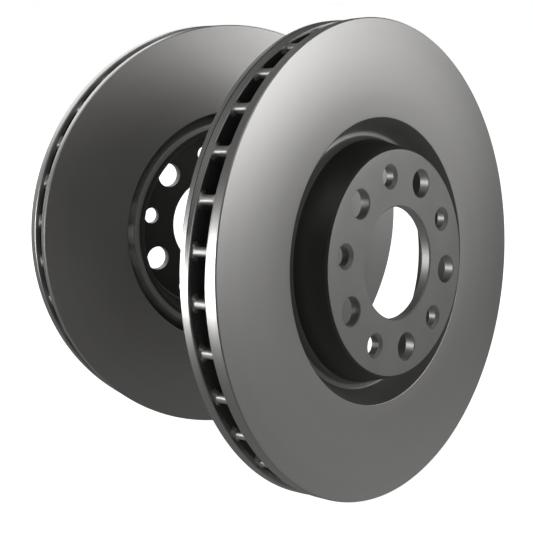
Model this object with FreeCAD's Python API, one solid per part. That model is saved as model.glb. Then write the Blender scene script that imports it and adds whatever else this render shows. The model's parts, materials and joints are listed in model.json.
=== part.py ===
import FreeCAD, Part
import math
import os

# A matched pair of one-piece ventilated brake discs, standing on edge one behind the other.
#
# Frame: millimetres, +Z up. The origin is the centre of the near disc's hub bore, halfway through its
# mounting plate. The near disc's axis is Y: its wheel side (outboard) faces -Y and its hub side +Y.
# Both discs are made in that same frame, with the first large hole towards +X, and then put in place.
#
# Each disc is one iron casting. It is written as regions that meet face to face: the mounting plate with
# its holes, the hat wall with its neck, the two friction plates, and the vanes that join the plates.

# Friction ring
disc_diameter = 305.0
disc_thickness = 28.0
outboard_plate = 9.0
inboard_plate = 6.8
rim_chamfer = 0.6
inner_edge_chamfer = 1.0

# Hub interface
bore_diameter = 71.0
bore_chamfer = 0.8
bolt_circle = 110.0
bolt_count = 5
large_hole = 18.0
large_hole_chamfer = 0.5
small_hole = 12.0
small_hole_countersink = 2.0

# Hat: a flat mounting plate, as wide as its holes need, inside a wall that flares towards the ring
hat_height = 12.0
hat_wall = 5.4
hat_flare = 7.1
hat_edge_chamfer = 1.4
hat_inner_fillet = 2.0
mounting_plate = 7.0
hole_margin = 1.0

# Neck: the hat wall runs inwards past the outboard plate, turns round and comes back out to it, which
# leaves a moat on the wheel side and a rounded mouth on the hub side
neck_thickness = 8.4
neck_wall = 6.3
neck_root = 1.5
moat_width = 11.5
moat_floor = 3.5
moat_fillet = 1.6
mouth_depth = 4.6
mouth_width = 7.8
mouth_fillet = 3.0
inlet_gap = 7.5

# Vanes
vane_count = 32
vane_thickness = 5.4
vane_fillet = 2.8
vane_setback = 1.5
vane_recess = 2.5
vane_angle = 0.0

# Balance cut: a shallow crescent milled into the rim across the vents
cut_width = 18.0
cut_depth = 2.7
cut_half_angle = 44.3
cut_angle = -69.8

# Where each disc stands: roll about its own axis, turn about +Z, and the centre of its hub bore
near_roll = 193.8
near_turn = 0.0
near_place = FreeCAD.Vector(0.0, 0.0, 0.0)
far_roll = 128.7
far_turn = 161.8
far_place = FreeCAD.Vector(63.2, 219.4, 0.0)

# Radii, from the bore outwards
rim_radius = disc_diameter / 2
bore_radius = bore_diameter / 2
plate_edge_radius = bolt_circle / 2 + large_hole / 2 + hole_margin
hat_inner_radius = plate_edge_radius + hat_inner_fillet
hat_radius = hat_inner_radius + hat_wall
moat_wall_radius = hat_radius + hat_flare
mouth_inner_radius = moat_wall_radius - neck_wall
mouth_outer_radius = mouth_inner_radius + mouth_width
inboard_plate_inner_radius = mouth_outer_radius + inlet_gap
outboard_face_inner_radius = moat_wall_radius + moat_width
neck_root_radius = outboard_face_inner_radius + neck_root
vane_inner_radius = neck_root_radius + vane_setback
vane_outer_radius = rim_radius - vane_recess

# Planes along the axis, from the wheel side to the hub side
hat_face = -mounting_plate / 2
hub_seat = mounting_plate / 2
outboard_face = hat_face + hat_height
vent_start = outboard_face + outboard_plate
inboard_face = outboard_face + disc_thickness
vent_end = inboard_face - inboard_plate
mouth = inboard_face - mouth_depth
moat_bottom = mouth - neck_thickness

ORIGIN = FreeCAD.Vector(0, 0, 0)
AXIS = FreeCAD.Vector(0, 1, 0)
OUTBOARD = FreeCAD.Vector(0, -1, 0)
UP = FreeCAD.Vector(0, 0, 1)
CLEAR = 1.0


def rounded_outline(corners):
    """A closed wire in the XY plane through corners (x, y, fillet radius), with a tangent arc at each fillet."""
    points = [FreeCAD.Vector(x, y, 0) for x, y, _ in corners]
    starts, ends, middles = [], [], []
    for i, (_, _, radius) in enumerate(corners):
        here = points[i]
        back = (points[i - 1] - here).normalize()
        ahead = (points[(i + 1) % len(points)] - here).normalize()
        if radius == 0:
            starts.append(here)
            ends.append(here)
            middles.append(None)
            continue
        half = back.getAngle(ahead) / 2
        reach = radius / math.tan(half)
        bisector = (back + ahead).normalize()
        starts.append(here + back * reach)
        ends.append(here + ahead * reach)
        middles.append(here + bisector * (radius / math.sin(half) - radius))
    edges = []
    for i in range(len(corners)):
        if middles[i] is not None:
            edges.append(Part.Arc(starts[i], middles[i], ends[i]).toShape())
        following = starts[(i + 1) % len(corners)]
        if ends[i].distanceToPoint(following) > 1e-6:
            edges.append(Part.LineSegment(ends[i], following).toShape())
    return Part.Wire(edges)


def turned(corners):
    """A solid of revolution about the disc's axis from corners (radius, axial place, fillet radius)."""
    return Part.Face(rounded_outline(corners)).revolve(ORIGIN, AXIS, 360)


def ring(inner, outer, start, end):
    """A plain ring, or a plain cylinder when inner is 0."""
    solid = Part.makeCylinder(outer, end - start, FreeCAD.Vector(0, start, 0), AXIS)
    if inner > 0:
        hole = Part.makeCylinder(inner, end - start + 2 * CLEAR, FreeCAD.Vector(0, start - CLEAR, 0), AXIS)
        solid = solid.cut(hole)
    return solid


def on_circle(solid, radius, angle):
    """A copy of a solid made on the axis, moved out to a radius at an angle from +X towards +Z."""
    moved = solid.copy()
    moved.translate(FreeCAD.Vector(radius, 0, 0))
    moved.rotate(ORIGIN, OUTBOARD, angle)
    return moved


def around(solid, radius, count, first):
    """Evenly spaced copies of a solid made on the axis."""
    return [on_circle(solid, radius, first + i * 360.0 / count) for i in range(count)]


def hole_tool(diameter, outboard_chamfer, inboard_chamfer):
    """The tool that drills one hole through the mounting plate and breaks its edges."""
    r = diameter / 2
    first = hat_face - CLEAR
    last = hub_seat + CLEAR
    return turned(
        [
            (0, first, 0),
            (r + outboard_chamfer + CLEAR, first, 0),
            (r, hat_face + outboard_chamfer, 0),
            (r, hub_seat - inboard_chamfer, 0),
            (r + inboard_chamfer + CLEAR, last, 0),
            (0, last, 0),
        ]
    )


def hat_and_outboard_plate():
    """The hat, its neck and the outboard friction plate as the casting has them, in one turned solid."""
    return turned(
        [
            (bore_radius, hat_face, 0),
            (hat_radius - hat_edge_chamfer, hat_face, 0),
            (hat_radius, hat_face + hat_edge_chamfer, 0),
            (moat_wall_radius, moat_bottom, moat_fillet),
            (moat_wall_radius + moat_floor, moat_bottom, moat_fillet),
            (outboard_face_inner_radius, outboard_face, 0),
            (rim_radius - rim_chamfer, outboard_face, 0),
            (rim_radius, outboard_face + rim_chamfer, 0),
            (rim_radius, vent_start, 0),
            (neck_root_radius, vent_start, 0),
            (mouth_outer_radius, mouth, mouth_fillet),
            (mouth_inner_radius, mouth, mouth_fillet),
            (hat_inner_radius, hub_seat, hat_inner_fillet),
            (bore_radius, hub_seat, 0),
        ]
    )


def mounting_plate_region(casting):
    """The flat centre of the hat, with the hub bore, five large holes and five small countersunk ones."""
    plate = casting.common(ring(0, plate_edge_radius, hat_face - CLEAR, inboard_face))
    step = 360.0 / bolt_count
    bolt_radius = bolt_circle / 2
    large = hole_tool(large_hole, large_hole_chamfer, large_hole_chamfer)
    small = hole_tool(small_hole, small_hole_countersink, 0)
    tools = [hole_tool(bore_diameter, bore_chamfer, bore_chamfer)]
    tools += around(large, bolt_radius, bolt_count, 0)
    tools += around(small, bolt_radius, bolt_count, step / 2)
    return plate.cut(tools)


def hat_wall_region(casting):
    """The hat's flared wall and the neck that carries the friction ring."""
    return casting.common(ring(plate_edge_radius, neck_root_radius, hat_face - CLEAR, inboard_face))


def outboard_plate_region(casting):
    """The friction plate on the wheel side, outside the neck."""
    return casting.common(ring(neck_root_radius, rim_radius + CLEAR, outboard_face - CLEAR, vent_start + CLEAR))


def inboard_plate_region():
    """The friction plate on the hub side, which only the vanes hold."""
    return turned(
        [
            (inboard_plate_inner_radius, vent_end, 0),
            (rim_radius, vent_end, 0),
            (rim_radius, inboard_face - rim_chamfer, 0),
            (rim_radius - rim_chamfer, inboard_face, 0),
            (inboard_plate_inner_radius + inner_edge_chamfer, inboard_face, 0),
            (inboard_plate_inner_radius, inboard_face - inner_edge_chamfer, 0),
        ]
    )


def vanes_region():
    """All the vanes, each a solid of its own that meets both plates."""
    half = vane_thickness / 2
    foot = half + vane_fillet
    quarter = vane_fillet * math.sqrt(0.5)

    def at(across, along):
        return FreeCAD.Vector(vane_inner_radius - CLEAR, along, across)

    edges = []
    for side in (1, -1):
        first, last = (vent_start, vent_end) if side > 0 else (vent_end, vent_start)
        inward = 1 if side > 0 else -1
        edges.append(Part.LineSegment(at(-side * foot, first), at(side * foot, first)).toShape())
        edges.append(
            Part.Arc(
                at(side * foot, first),
                at(side * (foot - quarter), first + inward * (vane_fillet - quarter)),
                at(side * half, first + inward * vane_fillet),
            ).toShape()
        )
        edges.append(
            Part.LineSegment(
                at(side * half, first + inward * vane_fillet), at(side * half, last - inward * vane_fillet)
            ).toShape()
        )
        edges.append(
            Part.Arc(
                at(side * half, last - inward * vane_fillet),
                at(side * (foot - quarter), last - inward * (vane_fillet - quarter)),
                at(side * foot, last),
            ).toShape()
        )
    length = vane_outer_radius - vane_inner_radius + 2 * CLEAR
    rib = Part.Face(Part.Wire(edges)).extrude(FreeCAD.Vector(length, 0, 0))
    rib = rib.common(ring(vane_inner_radius, vane_outer_radius, vent_start - CLEAR, vent_end + CLEAR))
    return Part.makeCompound(around(rib, 0, vane_count, vane_angle))


def balance_cut():
    """The crescent that is milled away: what lies outside a larger circle set off centre."""
    half = math.radians(cut_half_angle)
    offset = cut_depth / (1 - math.cos(half))
    radius = rim_radius - cut_depth + offset
    start = (vent_start + vent_end - cut_width) / 2
    band = ring(0, rim_radius + CLEAR, start, start + cut_width)
    kept = Part.makeCylinder(radius, cut_width + 2 * CLEAR, FreeCAD.Vector(-offset, start - CLEAR, 0), AXIS)
    return on_circle(band.cut(kept), 0, cut_angle)


def disc(balanced):
    """One disc in its own frame, as a dictionary of regions."""
    casting = hat_and_outboard_plate()
    regions = {
        "mounting_plate": mounting_plate_region(casting),
        "hat_wall": hat_wall_region(casting),
        "outboard_plate": outboard_plate_region(casting),
        "inboard_plate": inboard_plate_region(),
        "vanes": vanes_region(),
    }
    if balanced:
        cut = balance_cut()
        for name in ("outboard_plate", "inboard_plate", "vanes"):
            regions[name] = regions[name].cut(cut)
    return regions


def stand(shape, roll, turn, place):
    """Rolls a shape about the disc's own axis, turns it about +Z and moves it to its place."""
    shape.rotate(ORIGIN, OUTBOARD, roll)
    shape.rotate(ORIGIN, UP, turn)
    shape.translate(place)
    return shape


os.makedirs("parts", exist_ok=True)
pair = {
    "near_disc": (disc(balanced=True), near_roll, near_turn, near_place),
    "far_disc": (disc(balanced=False), far_roll, far_turn, far_place),
}
for disc_name, (regions, roll, turn, place) in pair.items():
    for region_name, region in regions.items():
        stand(region, roll, turn, place).exportStep("parts/" + disc_name + "_" + region_name + ".step")
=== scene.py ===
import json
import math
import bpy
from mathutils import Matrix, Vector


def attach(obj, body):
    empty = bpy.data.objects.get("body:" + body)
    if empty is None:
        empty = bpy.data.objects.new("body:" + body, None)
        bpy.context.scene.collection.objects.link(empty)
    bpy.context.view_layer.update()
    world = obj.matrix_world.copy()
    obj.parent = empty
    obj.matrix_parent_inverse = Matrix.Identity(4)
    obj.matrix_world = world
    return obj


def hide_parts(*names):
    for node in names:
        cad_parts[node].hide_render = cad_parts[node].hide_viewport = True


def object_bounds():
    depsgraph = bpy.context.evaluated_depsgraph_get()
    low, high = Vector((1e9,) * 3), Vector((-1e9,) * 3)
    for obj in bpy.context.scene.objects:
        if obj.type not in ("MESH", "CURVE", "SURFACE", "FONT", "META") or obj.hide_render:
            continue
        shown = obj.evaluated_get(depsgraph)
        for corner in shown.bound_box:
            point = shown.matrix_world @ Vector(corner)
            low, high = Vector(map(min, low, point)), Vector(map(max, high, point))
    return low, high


bl_info = {
    "name": "Ventilated brake disc pair",
    "version": (1, 0, 0),
    "blender": (4, 5, 0),
    "location": "View3D > Sidebar > Brake discs",
    "description": "Builds the finished look of two ventilated brake discs around their packed frame",
    "category": "Object",
}

import bpy
from mathutils import Matrix, Vector

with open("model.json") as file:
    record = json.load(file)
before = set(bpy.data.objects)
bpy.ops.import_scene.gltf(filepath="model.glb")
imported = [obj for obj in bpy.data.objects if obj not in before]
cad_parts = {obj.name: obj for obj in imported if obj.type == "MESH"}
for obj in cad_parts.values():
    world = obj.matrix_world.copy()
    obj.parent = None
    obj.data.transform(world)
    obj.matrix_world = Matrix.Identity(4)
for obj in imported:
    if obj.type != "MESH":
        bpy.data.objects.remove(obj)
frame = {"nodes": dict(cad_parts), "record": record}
cad_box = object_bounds()

MM = 0.001
MOUNTS = {mount["name"]: mount for mount in frame["record"]["mounts"]}
DISCS = ("near", "far")
ROLL = {"near": math.radians(193.8), "far": math.radians(128.7)}
TURNING_STEPS = 288
ARC_STEPS = 6
SMOOTH_ANGLE = math.radians(32)

# Numbers of sockets that are not found by name
MIX_COLOUR_A, MIX_COLOUR_B, MIX_COLOUR_RESULT = 6, 7, 2
OBJECT_COORDINATES = 3
DOT_VALUE = 1

# Noise scales, per metre: how fine each finish's grain is
TURNING_MARKS, TURNING_BANDS, HAT_MARKS = 2600.0, 150.0, 1500.0
IRON_CLOUD, VENT_GRAIN = 9.0, 900.0
COATING_CLOUD, COATING_SPECKLE = 30.0, 1400.0
SAND_GRAIN, SAND_PITS = 750.0, 260.0

# Where painted shade darkens the hat: the outer wall between two radii, and the cavity from its seat in
PAINTED_SHADE_WALL = (71.2 * MM, 77.8 * MM)
PAINTED_SHADE_CAVITY_START, PAINTED_SHADE_CAVITY_RADIUS = 3.3 * MM, 74.0 * MM

# How far each finish, the painted highlight on the vane noses and the painted shade on the balance cut's wall
# reach from the edge that each belongs to
EDGE_MARGIN = 0.4 * MM
RIM_SKIN = 3.5 * MM
NOSE_HIGHLIGHT_DEPTH = 4.0 * MM
CUT_SHADE_BEFORE, CUT_SHADE_AFTER, CUT_SHADE_SKIN = 0.35 * MM, 0.12 * MM, 0.12 * MM

# The friction plates' edges: chamfer, its rounding, and the face's inner edge
RIM_CHAMFER = 0.6 * MM
RIM_ROUND = 0.2 * MM
FACE_ROUND = 0.4 * MM
INNER_CHAMFER = 1.0 * MM
CRISP_ROUND = 0.3 * MM

# The hat's roundings
GROOVE_ROUND, MOUTH_ROUND, SEAT_ROUND = 1.6 * MM, 3.0 * MM, 2.0 * MM

# The balance cut: how far in from the rim it can reach, and the step between its edge points
CUT_REACH = 4.0 * MM
CUT_STEP = 0.03 * MM
CUT_SLOPE = 0.5
FLAT_INSIDE_RIM = 6.0 * MM

CAMERA_PLACE = (-0.5546, -0.4150, 0.2080)
CAMERA_FORWARD = (0.6988, 0.6608, -0.2741)
CAMERA_UP = (0.3138, 0.0611, 0.9475)
CAMERA_LENS, CAMERA_SENSOR = 77.07, 36.0

FLOOR_REACH = 14.0
FLOOR_TONE = 0.92
FLOOR_GLOW = 0.86

# name: place, target, side of the square in metres, power in watts
SOFTBOXES = {
    "key": ((0.78, -1.10, 0.24), (0, 0, 0), 0.8, 6.4),
    "low": ((0.95, -0.70, -1.0), (0, 0, 0), 0.8, 0.5),
    "side": ((-1.30, 1.08, 0.20), (-0.1, 0.1, 0), 0.6, 15),
    "back": ((0.7, 1.8, 0.5), (0.03, 0.15, 0), 1.2, 9),
    "top": ((-0.5, -0.5, 1.5), (0, 0, 0), 1.2, 3),
}

# The studio's grey from straight down, 0, to straight up, 1
STUDIO_GREYS = ((0.0, 0.22), (0.28, 0.13), (0.42, 0.10), (0.56, 0.16), (0.75, 0.10), (1.0, 0.20))


class DiscSizes(bpy.types.PropertyGroup):
    rim_radius: bpy.props.FloatProperty(
        name="Rim radius",
        description="Outer radius of the friction ring",
        default=0.1525,
        unit="LENGTH",
    )
    outboard_face: bpy.props.FloatProperty(
        name="Outboard face",
        description="Axial place of the wheel-side friction face",
        default=0.0085,
        unit="LENGTH",
    )
    vent_start: bpy.props.FloatProperty(
        name="Vent start",
        description="Axial place of the outboard plate's vent side",
        default=0.0175,
        unit="LENGTH",
    )
    vent_end: bpy.props.FloatProperty(
        name="Vent end",
        description="Axial place of the inboard plate's vent side",
        default=0.0297,
        unit="LENGTH",
    )
    inboard_face: bpy.props.FloatProperty(
        name="Inboard face",
        description="Axial place of the hub-side friction face",
        default=0.0365,
        unit="LENGTH",
    )
    face_inner_radius: bpy.props.FloatProperty(
        name="Face inner radius",
        description="Where the outboard friction face begins",
        default=0.091,
        unit="LENGTH",
    )
    inboard_inner_radius: bpy.props.FloatProperty(
        name="Inboard inner radius",
        description="Inner radius of the inboard plate",
        default=0.0885,
        unit="LENGTH",
    )
    neck_root_radius: bpy.props.FloatProperty(
        name="Neck root radius",
        description="Where the neck joins the outboard plate",
        default=0.0925,
        unit="LENGTH",
    )
    edge_round: bpy.props.FloatProperty(
        name="Vent edge round",
        description="Softening of the cast edges round the vents",
        default=0.0009,
        unit="LENGTH",
    )


class HatSizes(bpy.types.PropertyGroup):
    plate_edge: bpy.props.FloatProperty(
        name="Plate edge",
        description="Radius where the mounting plate meets the hat wall",
        default=0.065,
        unit="LENGTH",
    )
    wheel_seat: bpy.props.FloatProperty(
        name="Wheel seat",
        description="Axial place of the hat's outer face",
        default=-0.0035,
        unit="LENGTH",
    )
    hub_seat: bpy.props.FloatProperty(
        name="Hub seat",
        description="Axial place of the mounting plate's inner face",
        default=0.0035,
        unit="LENGTH",
    )
    face_radius: bpy.props.FloatProperty(
        name="Face radius",
        description="Where the hat's flat outer face ends",
        default=0.071,
        unit="LENGTH",
    )
    edge_radius: bpy.props.FloatProperty(
        name="Edge radius",
        description="Where the hat's outer wall begins",
        default=0.0724,
        unit="LENGTH",
    )
    edge_drop: bpy.props.FloatProperty(
        name="Edge drop",
        description="From the outer face to where the wall begins",
        default=0.0014,
        unit="LENGTH",
    )
    inner_radius: bpy.props.FloatProperty(
        name="Inner radius",
        description="Inner wall at the hub seat",
        default=0.067,
        unit="LENGTH",
    )
    groove_inner: bpy.props.FloatProperty(
        name="Groove inner",
        description="Hat side of the groove's floor",
        default=0.0795,
        unit="LENGTH",
    )
    groove_outer: bpy.props.FloatProperty(
        name="Groove outer",
        description="Ring side of the groove's floor",
        default=0.083,
        unit="LENGTH",
    )
    groove_floor: bpy.props.FloatProperty(
        name="Groove floor",
        description="Axial place of the floor of the groove",
        default=0.0235,
        unit="LENGTH",
    )
    mouth: bpy.props.FloatProperty(
        name="Mouth",
        description="Axial place of the neck's inboard end",
        default=0.0319,
        unit="LENGTH",
    )
    mouth_inner: bpy.props.FloatProperty(
        name="Mouth inner",
        description="Inner radius at the mouth",
        default=0.0732,
        unit="LENGTH",
    )
    mouth_outer: bpy.props.FloatProperty(
        name="Mouth outer",
        description="Outer radius at the mouth",
        default=0.081,
        unit="LENGTH",
    )


class VaneSizes(bpy.types.PropertyGroup):
    count: bpy.props.IntProperty(
        name="Vanes",
        description="Vanes in one disc",
        default=32,
        min=3,
    )
    thickness: bpy.props.FloatProperty(
        name="Thickness",
        description="Thickness of a vane between its fillets",
        default=0.0054,
        unit="LENGTH",
    )
    fillet: bpy.props.FloatProperty(
        name="Fillet",
        description="Fillet where a vane meets a plate",
        default=0.0028,
        unit="LENGTH",
    )
    inner_radius: bpy.props.FloatProperty(
        name="Inner radius",
        description="Where a vane begins",
        default=0.094,
        unit="LENGTH",
    )
    outer_radius: bpy.props.FloatProperty(
        name="Outer radius",
        description="Where a vane's nose ends",
        default=0.150,
        unit="LENGTH",
    )
    nose_round: bpy.props.FloatProperty(
        name="Nose round",
        description="Rounding of a vane's outer end",
        default=0.0022,
        unit="LENGTH",
    )


class BalanceCut(bpy.types.PropertyGroup):
    width: bpy.props.FloatProperty(
        name="Width",
        description="Width of the cut",
        default=0.018,
        unit="LENGTH",
    )
    depth: bpy.props.FloatProperty(
        name="Depth",
        description="Deepest point",
        default=0.0027,
        unit="LENGTH",
    )
    half_angle: bpy.props.FloatProperty(
        name="Half angle",
        description="From the middle of the cut to its tip",
        default=math.radians(44.3),
        subtype="ANGLE",
    )
    angle: bpy.props.FloatProperty(
        name="Angle",
        description="Where its middle lies, from the first large hole",
        default=math.radians(-69.8),
        subtype="ANGLE",
    )


class Finishes(bpy.types.PropertyGroup):
    turned: bpy.props.FloatVectorProperty(
        name="Turned iron",
        description="Machined friction faces and rim",
        subtype="COLOR",
        default=(0.46, 0.455, 0.445),
    )
    coated: bpy.props.FloatVectorProperty(
        name="Hat",
        description="Coated hat and neck",
        subtype="COLOR",
        default=(0.25, 0.25, 0.243),
    )
    # Painted shade: this colour darkens the hat wall, the hat cavity and the balance cut's wall, where shade
    # falls
    shadowed: bpy.props.FloatVectorProperty(
        name="Dark recesses",
        description="Hat wall, hat cavity and the cut's wall",
        subtype="COLOR",
        default=(0.035, 0.034, 0.032),
    )
    cast: bpy.props.FloatVectorProperty(
        name="Cast iron",
        description="Vanes and vent walls",
        subtype="COLOR",
        default=(0.055, 0.053, 0.052),
    )


class Sock:
    """A shader socket with arithmetic: each expression adds its Math node."""

    def __init__(self, tree, socket):
        self.tree = tree
        self.socket = socket

    def _math(self, operation, *values, clamp=False):
        node = self.tree.nodes.new("ShaderNodeMath")
        node.operation = operation
        node.use_clamp = clamp
        for slot, value in zip(node.inputs, values):
            join(self.tree, slot, value)
        return Sock(self.tree, node.outputs[0])

    def __add__(self, other):
        return self._math("ADD", self, other)

    def __sub__(self, other):
        return self._math("SUBTRACT", self, other)

    def __rsub__(self, other):
        return self._math("SUBTRACT", other, self)

    def __mul__(self, other):
        return self._math("MULTIPLY", self, other)

    __radd__ = __add__
    __rmul__ = __mul__

    def __gt__(self, other):
        return self._math("GREATER_THAN", self, other)

    def __lt__(self, other):
        return self._math("LESS_THAN", self, other)

    def root(self):
        return self._math("SQRT", self)

    def clamped(self):
        return self._math("ADD", self, 0.0, clamp=True)


def join(tree, slot, value):
    """Links a socket or sets a plain value."""
    if isinstance(value, Sock):
        tree.links.new(value.socket, slot)
    else:
        slot.default_value = value


def make_node(tree, kind, settings=None, inputs=None, output=0):
    """A node of a type, with its settings, then its sockets' values or links."""
    made = tree.nodes.new(kind)
    for key, value in (settings or {}).items():
        setattr(made, key, value)
    for key, value in (inputs or {}).items():
        join(tree, made.inputs[key], value)
    return Sock(tree, made.outputs[output]) if made.outputs else made


class Finish:
    """A material under construction."""

    def __init__(self, name):
        self.material = bpy.data.materials.new(name)
        self.material.use_nodes = True
        self.tree = self.material.node_tree
        self.shader = self.tree.nodes["Principled BSDF"]

    def node(self, kind, settings=None, inputs=None, output=0):
        return make_node(self.tree, kind, settings, inputs, output)

    def set(self, **values):
        for key, value in values.items():
            join(self.tree, self.shader.inputs[key.replace("_", " ")], value)

    def mix(self, factor, first, second):
        colours = [value if isinstance(value, Sock) else (*value, 1.0) for value in (first, second)]
        inputs = {0: factor, MIX_COLOUR_A: colours[0], MIX_COLOUR_B: colours[1]}
        return self.node("ShaderNodeMix", {"data_type": "RGBA"}, inputs, MIX_COLOUR_RESULT)

    def noise(self, vector, scale, detail=4.0, roughness=0.5):
        inputs = {"Vector": vector, "Scale": scale, "Detail": detail, "Roughness": roughness}
        return self.node("ShaderNodeTexNoise", inputs=inputs)

    def bump(self, height, strength, distance):
        inputs = {"Height": height, "Strength": strength, "Distance": distance}
        self.set(Normal=self.node("ShaderNodeBump", inputs=inputs))


def placement(which):
    """From a disc's own frame, with its axis along Y, to where the disc stands."""
    inboard = Vector(MOUNTS[which + "_hub_seat"]["axis"]).normalized()
    turn = math.atan2(-inboard.x, inboard.y)
    return (
        Matrix.Translation(Vector(MOUNTS[which + "_hub_bore"]["pos_m"]))
        @ Matrix.Rotation(turn, 4, "Z")
        @ Matrix.Rotation(ROLL[which], 4, Vector((0, -1, 0)))
    )


def rounded(corners):
    """Points of an outline through corners (radius, axial place, rounding), with arcs at the roundings."""
    points = []
    for i, (x, y, radius) in enumerate(corners):
        here = Vector((x, y))
        if radius == 0:
            points.append(here)
            continue
        back = (Vector(corners[i - 1][:2]) - here).normalized()
        ahead = (Vector(corners[(i + 1) % len(corners)][:2]) - here).normalized()
        half = back.angle(ahead) / 2
        centre = here + (back + ahead).normalized() * (radius / math.sin(half))
        first = here + back * (radius / math.tan(half)) - centre
        last = here + ahead * (radius / math.tan(half)) - centre
        sweep = first.angle_signed(last)
        for step in range(ARC_STEPS + 1):
            angle = -sweep * step / ARC_STEPS
            cos, sin = math.cos(angle), math.sin(angle)
            points.append(centre + Vector((first.x * cos - first.y * sin, first.x * sin + first.y * cos)))
    return points


def new_piece(name, vertices, faces, which, material):
    """A mesh object in its place on a disc, with crisp edges kept crisp and the rest smooth."""
    mesh = bpy.data.meshes.new(name)
    mesh.from_pydata(vertices, [], faces)
    piece = bpy.data.objects.new(name, mesh)
    bpy.context.scene.collection.objects.link(piece)
    finish_piece(piece, which, material)
    return piece


def finish_piece(piece, which, material):
    """Moves a piece's mesh to its disc, gives it its material and sets its crisp edges."""
    mesh = piece.data
    mesh.transform(placement(which))
    mesh.materials.clear()
    mesh.materials.append(material)
    mesh.polygons.foreach_set("use_smooth", [True] * len(mesh.polygons))
    mesh.set_sharp_from_angle(angle=SMOOTH_ANGLE)
    mesh.validate()
    mesh.update()


def turned(name, outline, which, material, shape=None):
    """A closed ring turned about the disc's axis. shape(radius, axial, angle) may move a point's radius."""
    count = len(outline)
    vertices = []
    for step in range(TURNING_STEPS):
        angle = 2 * math.pi * step / TURNING_STEPS
        for point in outline:
            radius = shape(point.x, point.y, angle) if shape else point.x
            vertices.append((radius * math.cos(angle), point.y, radius * math.sin(angle)))
    area = sum(a.x * b.y - b.x * a.y for a, b in zip(outline, outline[1:] + outline[:1]))
    faces = []
    for step in range(TURNING_STEPS):
        here = step * count
        there = (step + 1) % TURNING_STEPS * count
        for i in range(count):
            j = (i + 1) % count
            face = (here + i, here + j, there + j, there + i)
            faces.append(face if area > 0 else face[::-1])
    return new_piece(name, vertices, faces, which, material)


def cut_radius(angle, rim, cut):
    """Radius of the milled floor at an angle: a larger circle set off centre."""
    offset = cut.depth / (1 - math.cos(cut.half_angle))
    radius = rim - cut.depth + offset
    away = angle - cut.angle
    return math.sqrt(radius**2 - (offset * math.sin(away)) ** 2) - offset * math.cos(away)


def disc_radius(finish, which):
    """Distance from a disc's axis, and place along it from the bore's middle towards the hub side."""
    centre = MOUNTS[which + "_hub_bore"]["pos_m"]
    axis = Vector(MOUNTS[which + "_hub_seat"]["axis"]).normalized()
    place = finish.node("ShaderNodeTexCoord", output=OBJECT_COORDINATES)
    moved = finish.node("ShaderNodeVectorMath", {"operation": "SUBTRACT"}, {0: place, 1: tuple(centre)})
    dot = {"operation": "DOT_PRODUCT"}
    along = finish.node("ShaderNodeVectorMath", dot, {0: moved, 1: tuple(axis)}, DOT_VALUE)
    square = finish.node("ShaderNodeVectorMath", dot, {0: moved, 1: moved}, DOT_VALUE)
    return (square - along * along).root(), along, place


def shade(colour, factor):
    """A colour made darker or lighter."""
    return [channel * factor for channel in colour]


def turned_iron(which):
    """Fine-turned grey iron on the faces and rim, as cast inside the vents, with painted shade along the
    balance cut's wall.
    """
    look = bpy.context.scene.disc_finishes
    sizes = bpy.context.scene.disc_sizes
    finish = Finish(which + "_turned_iron")
    cut_edge = (sizes.vent_start + sizes.vent_end + bpy.context.scene.balance_cut.width) / 2
    radius, along, place = disc_radius(finish, which)
    inside = (along > sizes.vent_start - EDGE_MARGIN) * (along < sizes.vent_end + EDGE_MARGIN)
    inside = inside * (radius < sizes.rim_radius - RIM_SKIN)
    # Painted shade: a thin band along the balance cut's wall and the floor next to it is darkened where shade
    # falls
    cut_wall_shade = (along > cut_edge - CUT_SHADE_BEFORE) * (along < cut_edge + CUT_SHADE_AFTER)
    cut_wall_shade = cut_wall_shade * (radius < sizes.rim_radius - CUT_SHADE_SKIN) * (radius > sizes.rim_radius - RIM_SKIN)
    rings = finish.node("ShaderNodeCombineXYZ", inputs={0: radius, 1: along, 2: 0.0})
    fine = finish.noise(rings, TURNING_MARKS, 2.0)
    broad = finish.noise(rings, TURNING_BANDS, 2.0)
    cloud = finish.noise(place, IRON_CLOUD, 3.0)
    grain = finish.noise(place, VENT_GRAIN, 4.0, 0.6)
    mottle = (cloud * 0.5 + broad * 0.5).clamped()
    tone = finish.mix(mottle, shade(look.turned, 0.93), shade(look.turned, 1.05))
    cast_or_cut_shade = finish.mix(cut_wall_shade, look.cast, look.shadowed)
    finish.set(
        Base_Color=finish.mix((inside + cut_wall_shade).clamped(), tone, cast_or_cut_shade),
        Metallic=1.0 - inside * 0.35,
        Roughness=0.33 + fine * 0.06 + broad * 0.03 + (inside + cut_wall_shade) * 0.28,
    )
    finish.bump(fine * (1.0 - inside) * 0.35 + grain * inside, 0.25, 0.00006)
    return finish.material


def coated_iron(which):
    """Satin grey coating over turned iron on the hat, with painted shade on the hat's outer wall and in its
    cavity.
    """
    look = bpy.context.scene.disc_finishes
    finish = Finish(which + "_coated_iron")
    radius, along, place = disc_radius(finish, which)
    rings = finish.node("ShaderNodeCombineXYZ", inputs={0: radius, 1: along, 2: 0.0})
    fine = finish.noise(rings, HAT_MARKS, 2.0)
    cloud = finish.noise(place, COATING_CLOUD, 4.0)
    speckle = finish.noise(place, COATING_SPECKLE, 3.0, 0.6)
    # Painted shade: the hat's outer wall and its cavity take the dark recess colour, standing in for the
    # shade and dark reflections that fall there
    wall = (radius > PAINTED_SHADE_WALL[0]) * (radius < PAINTED_SHADE_WALL[1])
    cavity = (along > PAINTED_SHADE_CAVITY_START) * (radius < PAINTED_SHADE_CAVITY_RADIUS)
    dark = (wall + cavity).clamped() * 0.9
    tone = finish.mix(cloud, shade(look.coated, 0.85), shade(look.coated, 1.15))
    finish.set(
        Base_Color=finish.mix(dark, tone, look.shadowed),
        Metallic=0.85,
        Roughness=0.42 + speckle * 0.1 - dark * 0.08,
    )
    finish.bump(fine * 0.4 + speckle * 0.6, 0.2, 0.00008)
    return finish.material


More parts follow.
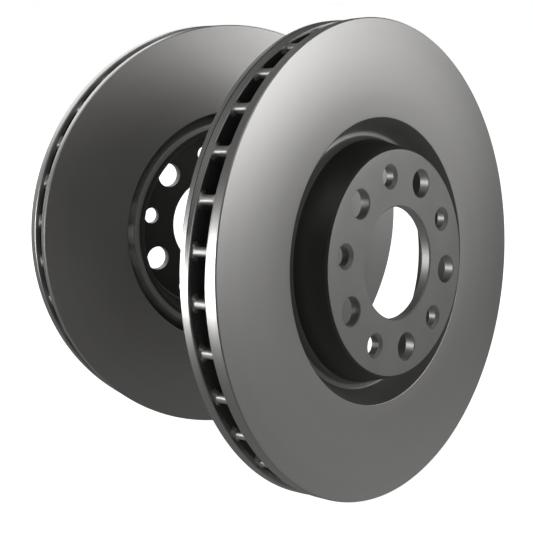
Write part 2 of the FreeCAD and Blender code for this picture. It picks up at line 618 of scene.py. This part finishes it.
def cast_iron(which):
    """Grey iron as it left the sand: dark, grainy and slightly pitted, with a painted highlight on the vane
    noses.
    """
    look = bpy.context.scene.disc_finishes
    outer_radius = bpy.context.scene.vane_sizes.outer_radius
    finish = Finish(which + "_cast_iron")
    radius, _, place = disc_radius(finish, which)
    sand = finish.noise(place, SAND_GRAIN, 5.0, 0.65)
    pits = finish.noise(place, SAND_PITS, 3.0, 0.5)
    nose = radius > outer_radius - NOSE_HIGHLIGHT_DEPTH
    tone = finish.mix(sand, shade(look.cast, 0.75), shade(look.cast, 1.4))
    # Painted highlight: the outer ends of the vanes take a lighter, turned-iron colour where light catches
    # them
    nose_highlight_tone = finish.mix(sand, shade(look.turned, 0.75), shade(look.turned, 0.95))
    finish.set(
        Base_Color=finish.mix(nose, tone, nose_highlight_tone),
        Metallic=0.65 + nose * 0.3,
        Roughness=0.58 - nose * 0.1 + pits * 0.08,
    )
    finish.bump(sand * 0.6 + pits * 0.4, 0.35, 0.0002)
    return finish.material


def friction_plates(which, cut):
    """The two friction plates of a disc. cut is the balance cut, or None."""
    sizes = bpy.context.scene.disc_sizes
    rim, start, end = sizes.rim_radius, sizes.vent_start, sizes.vent_end
    soft = sizes.edge_round
    middle = (start + end) / 2
    half_width = bpy.context.scene.balance_cut.width / 2

    def milled(radius, axial, angle):
        if cut is None or abs(axial - middle) > half_width or radius < rim - CUT_REACH:
            return radius
        return min(radius, cut_radius(angle, rim, cut) - (rim - radius) * CUT_SLOPE)

    material = turned_iron(which)
    low, high = middle - half_width, middle + half_width
    outboard = rounded(
        [
            (sizes.face_inner_radius, sizes.outboard_face, FACE_ROUND),
            (rim - RIM_CHAMFER, sizes.outboard_face, RIM_ROUND),
            (rim, sizes.outboard_face + RIM_CHAMFER, RIM_ROUND),
            (rim, low - CUT_STEP, 0),
            (rim, low, 0),
            (rim, start, soft),
            (rim - FLAT_INSIDE_RIM, start, 0),
            (sizes.neck_root_radius, start, 0),
        ]
    )
    inboard = rounded(
        [
            (sizes.inboard_inner_radius, end, INNER_CHAMFER),
            (rim - FLAT_INSIDE_RIM, end, 0),
            (rim, end, soft),
            (rim, high, 0),
            (rim, high + CUT_STEP, 0),
            (rim, sizes.inboard_face - RIM_CHAMFER, RIM_ROUND),
            (rim - RIM_CHAMFER, sizes.inboard_face, RIM_ROUND),
            (sizes.inboard_inner_radius + INNER_CHAMFER, sizes.inboard_face, CRISP_ROUND),
            (sizes.inboard_inner_radius, sizes.inboard_face - INNER_CHAMFER, CRISP_ROUND),
        ]
    )
    for name, outline in (("outboard_plate", outboard), ("inboard_plate", inboard)):
        node = which + "_disc_" + name
        plate = turned(node + "_turned", outline, which, material, milled)
        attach(plate, which + "_disc")
        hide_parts(node)


def hat(which):
    """The hat's flared wall and the neck, turned; the mounting plate keeps its own solid."""
    sizes = bpy.context.scene.disc_sizes
    form = bpy.context.scene.hat_sizes
    outline = rounded(
        [
            (form.plate_edge, form.wheel_seat, 0),
            (form.face_radius, form.wheel_seat, CRISP_ROUND),
            (form.edge_radius, form.wheel_seat + form.edge_drop, CRISP_ROUND),
            (form.groove_inner, form.groove_floor, GROOVE_ROUND),
            (form.groove_outer, form.groove_floor, GROOVE_ROUND),
            (sizes.face_inner_radius, sizes.outboard_face, 0),
            (sizes.neck_root_radius, sizes.vent_start, 0),
            (form.mouth_outer, form.mouth, MOUTH_ROUND),
            (form.mouth_inner, form.mouth, MOUTH_ROUND),
            (form.inner_radius, form.hub_seat, SEAT_ROUND),
            (form.plate_edge, form.hub_seat, 0),
        ]
    )
    material = coated_iron(which)
    wall = turned(which + "_disc_hat_turned", outline, which, material)
    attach(wall, which + "_disc")
    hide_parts(which + "_disc_hat_wall")
    plate = frame["nodes"][which + "_disc_mounting_plate"]
    plate.data.materials.clear()
    plate.data.materials.append(material)


def vane_mesh():
    """One vane on +X: filleted into both plates, with a softly rounded outer nose."""
    sizes = bpy.context.scene.disc_sizes
    vane = bpy.context.scene.vane_sizes
    half = vane.thickness / 2
    start, end = sizes.vent_start, sizes.vent_end
    side = []
    for i in range(ARC_STEPS + 1):
        angle = math.pi / 2 * i / ARC_STEPS
        side.append((half + vane.fillet * (1 - math.sin(angle)), start + vane.fillet * (1 - math.cos(angle))))
    side += [(across, start + end - axial) for across, axial in reversed(side)]
    section = side + [(-across, axial) for across, axial in reversed(side)]
    stations = [(vane.inner_radius, vane.nose_round), (vane.inner_radius + vane.nose_round, 0.0)]
    for i in range(ARC_STEPS + 1):
        angle = math.pi / 2 * i / ARC_STEPS
        reach = vane.outer_radius - vane.nose_round * (1 - math.sin(angle))
        stations.append((reach, vane.nose_round * (1 - math.cos(angle))))
    vertices = []
    for radius, inset in stations:
        for across, axial in section:
            narrow = abs(across) - inset
            vertices.append((radius, axial, math.copysign(narrow, across)))
    count = len(section)
    faces = []
    for s in range(len(stations) - 1):
        for i in range(count):
            j = (i + 1) % count
            faces.append((s * count + i, s * count + j, (s + 1) * count + j, (s + 1) * count + i))
    faces.append(tuple(reversed(range(count))))
    faces.append(tuple(range((len(stations) - 1) * count, len(stations) * count)))
    mesh = bpy.data.meshes.new("vane")
    mesh.from_pydata(vertices, [], faces)
    mesh.update()
    return mesh


def vane_tree(material):
    """Geometry nodes: copies of a vane evenly round the disc's axis."""
    tree = bpy.data.node_groups.new("vanes_round_axis", "GeometryNodeTree")
    tree.interface.new_socket("Geometry", in_out="INPUT", socket_type="NodeSocketGeometry")
    count = tree.interface.new_socket("Count", in_out="INPUT", socket_type="NodeSocketInt")
    tree.interface.new_socket("Geometry", in_out="OUTPUT", socket_type="NodeSocketGeometry")
    inlet = tree.nodes.new("NodeGroupInput")
    vane, vane_count = Sock(tree, inlet.outputs[0]), Sock(tree, inlet.outputs[1])
    points = make_node(tree, "GeometryNodePoints", inputs={"Count": vane_count})
    index = make_node(tree, "GeometryNodeInputIndex")
    pitch = make_node(tree, "ShaderNodeMath", {"operation": "DIVIDE"}, {0: 2 * math.pi, 1: vane_count})
    around = {"Axis": (0, -1, 0), "Angle": index * pitch}
    turn = make_node(tree, "FunctionNodeAxisAngleToRotation", inputs=around)
    copies = {"Points": points, "Instance": vane, "Rotation": turn}
    ring = make_node(tree, "GeometryNodeInstanceOnPoints", inputs=copies)
    real = make_node(tree, "GeometryNodeRealizeInstances", inputs={0: ring})
    cast = make_node(tree, "GeometryNodeSetMaterial", inputs={"Geometry": real, "Material": material})
    make_node(tree, "NodeGroupOutput", inputs={0: cast})
    return tree, count.identifier


def vanes(which):
    """The vanes of one disc as one piece."""
    material = cast_iron(which)
    tree, count_input = vane_tree(material)
    seed = bpy.data.objects.new("vane_seed", vane_mesh())
    bpy.context.scene.collection.objects.link(seed)
    modifier = seed.modifiers.new("vanes", "NODES")
    modifier.node_group = tree
    modifier[count_input] = bpy.context.scene.vane_sizes.count
    graph = bpy.context.evaluated_depsgraph_get()
    mesh = bpy.data.meshes.new_from_object(seed.evaluated_get(graph))
    bpy.data.objects.remove(seed)
    mesh.name = which + "_disc_vanes_cast"
    piece = bpy.data.objects.new(mesh.name, mesh)
    bpy.context.scene.collection.objects.link(piece)
    finish_piece(piece, which, material)
    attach(piece, which + "_disc")
    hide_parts(which + "_disc_vanes")


def soft_light(name, place, target, size, power):
    """A square softbox at a place, facing a target, unseen by the camera."""
    lamp = bpy.data.lights.new(name, "AREA")
    lamp.shape = "SQUARE"
    lamp.size = size
    lamp.energy = power
    holder = bpy.data.objects.new(name, lamp)
    holder.visible_camera = False
    holder.location = place
    holder.rotation_euler = (Vector(target) - Vector(place)).to_track_quat("-Z", "Y").to_euler()
    bpy.context.scene.collection.objects.link(holder)


class OBJECT_OT_disc_plates(bpy.types.Operator):
    """Turn the friction plates of both discs, with the near disc's balance cut"""

    bl_idname = "object.disc_plates"
    bl_label = "Friction plates"

    def execute(self, context):
        friction_plates("near", context.scene.balance_cut)
        friction_plates("far", None)
        return {"FINISHED"}


class OBJECT_OT_disc_hats(bpy.types.Operator):
    """Turn the hats and necks, and finish the mounting plates"""

    bl_idname = "object.disc_hats"
    bl_label = "Hats"

    def execute(self, context):
        for which in DISCS:
            hat(which)
        return {"FINISHED"}


class OBJECT_OT_disc_vanes(bpy.types.Operator):
    """Set the vanes round each disc"""

    bl_idname = "object.disc_vanes"
    bl_label = "Vanes"

    def execute(self, context):
        for which in DISCS:
            vanes(which)
        return {"FINISHED"}


class OBJECT_OT_disc_stage(bpy.types.Operator):
    """Make the floor, the soft studio light and the camera"""

    bl_idname = "object.disc_stage"
    bl_label = "Stage"

    def execute(self, context):
        make_floor()
        make_world()
        for name, (place, target, size, power) in SOFTBOXES.items():
            soft_light(name, place, target, size, power)
        make_camera()
        return {"FINISHED"}


def make_floor():
    """A plain pale floor under the discs, kept out of their reflections."""
    level = cad_box[0][2]
    corners = [(x * FLOOR_REACH, y * FLOOR_REACH, level) for x, y in ((-1, -1), (1, -1), (1, 1), (-1, 1))]
    mesh = bpy.data.meshes.new("floor")
    mesh.from_pydata(corners, [], [(0, 1, 2, 3)])
    floor = bpy.data.objects.new("floor", mesh)
    bpy.context.scene.collection.objects.link(floor)
    finish = Finish("pale_floor")
    finish.set(Base_Color=(FLOOR_TONE, FLOOR_TONE, FLOOR_TONE, 1.0), Roughness=0.9)
    finish.set(Emission_Color=(1, 1, 1, 1), Emission_Strength=FLOOR_GLOW)
    mesh.materials.append(finish.material)
    floor.visible_glossy = False
    floor.visible_shadow = False


def make_world():
    """White behind the discs, and graded greys for them to reflect."""
    world = bpy.data.worlds.new("studio")
    bpy.context.scene.world = world
    world.use_nodes = True
    tree = world.node_tree
    tree.nodes.clear()
    direction = make_node(tree, "ShaderNodeTexCoord")
    height = make_node(tree, "ShaderNodeSeparateXYZ", inputs={0: direction}, output=2)
    level = make_node(tree, "ShaderNodeMath", {"operation": "MULTIPLY_ADD"}, {0: height, 1: 0.5, 2: 0.5})
    grey = make_node(tree, "ShaderNodeValToRGB", inputs={0: level})
    elements = grey.socket.node.color_ramp.elements
    elements[0].position, elements[1].position = STUDIO_GREYS[0][0], STUDIO_GREYS[-1][0]
    for position, _ in STUDIO_GREYS[1:-1]:
        elements.new(position)
    for element, (_, tone) in zip(elements, STUDIO_GREYS):
        element.color = (tone, tone, tone, 1)
    studio = make_node(tree, "ShaderNodeBackground", inputs={0: grey})
    backdrop = make_node(tree, "ShaderNodeBackground", inputs={0: (1, 1, 1, 1)})
    seen_directly = make_node(tree, "ShaderNodeLightPath")
    mixed = make_node(tree, "ShaderNodeMixShader", inputs={0: seen_directly, 1: studio, 2: backdrop})
    make_node(tree, "ShaderNodeOutputWorld", inputs={0: mixed})


def make_camera():
    """The camera that frames both discs."""
    lens = bpy.data.cameras.new("camera")
    lens.lens, lens.sensor_width = CAMERA_LENS, CAMERA_SENSOR
    camera = bpy.data.objects.new("camera", lens)
    forward = Vector(CAMERA_FORWARD).normalized()
    right = forward.cross(Vector(CAMERA_UP)).normalized()
    up = right.cross(forward)
    turn = Matrix((right, up, -forward)).transposed().to_4x4()
    camera.matrix_world = Matrix.Translation(CAMERA_PLACE) @ turn
    bpy.context.scene.collection.objects.link(camera)
    bpy.context.scene.camera = camera
    bpy.context.scene.view_settings.view_transform = "Standard"


class VIEW3D_PT_brake_discs(bpy.types.Panel):
    """Buttons that build each group of pieces"""

    bl_label = "Brake discs"
    bl_space_type = "VIEW_3D"
    bl_region_type = "UI"
    bl_category = "Brake discs"

    def draw(self, context):
        for operator in OPERATORS:
            self.layout.operator(operator.bl_idname)
        for group, kind in GROUPS.items():
            for name in kind.__annotations__:
                self.layout.prop(getattr(context.scene, group), name)


OPERATORS = (OBJECT_OT_disc_plates, OBJECT_OT_disc_hats, OBJECT_OT_disc_vanes, OBJECT_OT_disc_stage)
GROUPS = {
    "disc_sizes": DiscSizes,
    "hat_sizes": HatSizes,
    "vane_sizes": VaneSizes,
    "balance_cut": BalanceCut,
    "disc_finishes": Finishes,
}


def register():
    for kind in (*GROUPS.values(), *OPERATORS, VIEW3D_PT_brake_discs):
        bpy.utils.register_class(kind)
    for name, kind in GROUPS.items():
        setattr(bpy.types.Scene, name, bpy.props.PointerProperty(type=kind))


def unregister():
    for name in GROUPS:
        delattr(bpy.types.Scene, name)
    for kind in (VIEW3D_PT_brake_discs, *reversed(OPERATORS), *reversed(GROUPS.values())):
        bpy.utils.unregister_class(kind)


def main():
    register()
    bpy.ops.object.disc_plates()
    bpy.ops.object.disc_hats()
    bpy.ops.object.disc_vanes()
    bpy.ops.object.disc_stage()


if __name__ == "__main__":
    main()
